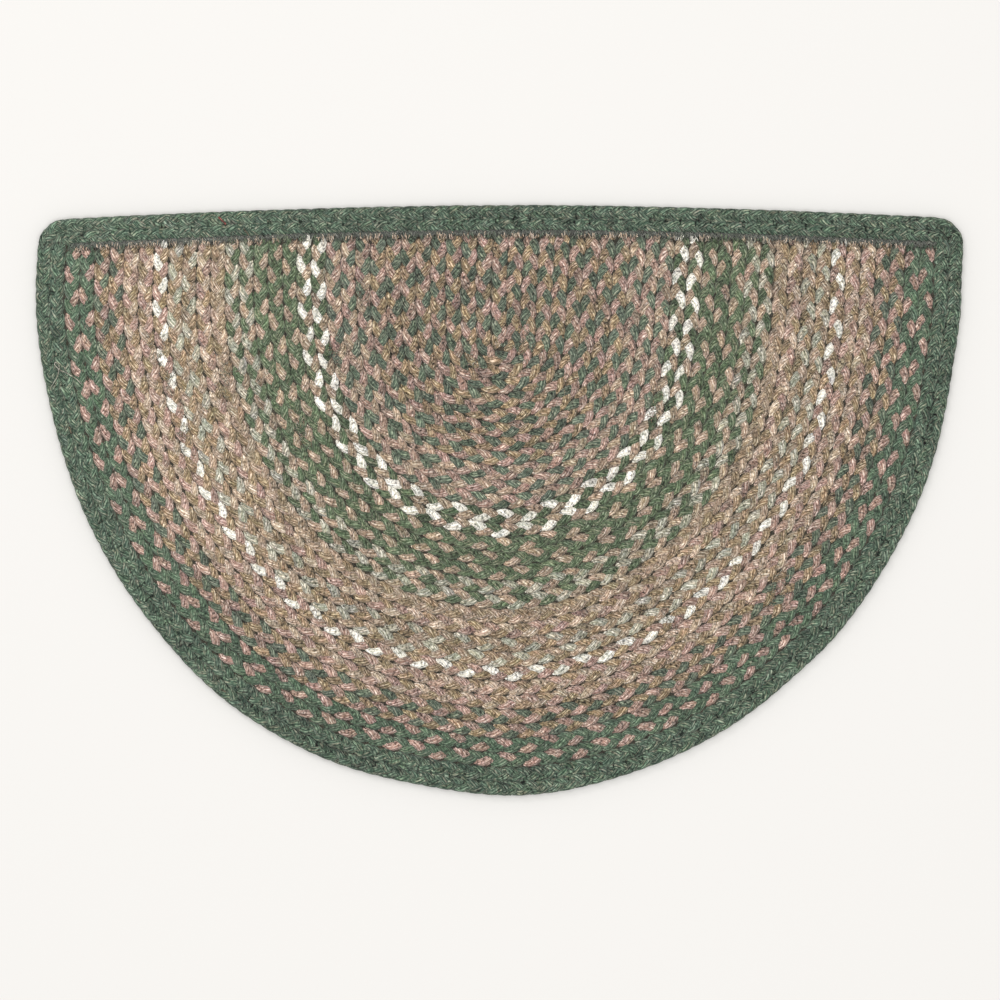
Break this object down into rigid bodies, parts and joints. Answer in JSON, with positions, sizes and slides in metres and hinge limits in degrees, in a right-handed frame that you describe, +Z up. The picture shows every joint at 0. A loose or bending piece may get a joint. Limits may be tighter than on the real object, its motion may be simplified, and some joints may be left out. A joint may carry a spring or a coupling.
{
  "type": "half-round braided jute doormat",
  "caption": "Half-round doormat of sewn three-strand jute braid in nested U-shaped rows, edged all round with a plain green braid. Lies flat on a floor.",
  "frame": {"origin": "On the floor, under the middle of the bounding box of the mat.", "axes": "+X runs along the straight edge, to the right seen from above. +Y points from the curved side to the straight edge. +Z points up, from the underside to the ribbed top."},
  "size_m": [0.7416, 0.4718, 0.009],
  "materials": {
    "field_braid": "matte",
    "edging_braid": "matte",
    "teal_jute": "matte",
    "tan_jute": "matte",
    "rose_jute": "matte",
    "moss_jute": "matte",
    "fern_jute": "matte",
    "cream_jute": "matte",
    "mint_jute": "matte",
    "peach_jute": "matte",
    "brown_jute": "matte",
    "sewing_thread": "matte"
  },
  "bodies": {
    "root": {"braided_field": "field_braid", "edging_inner_round": "edging_braid", "edging_outer_round": "edging_braid"}
  },
  "joints": []
}
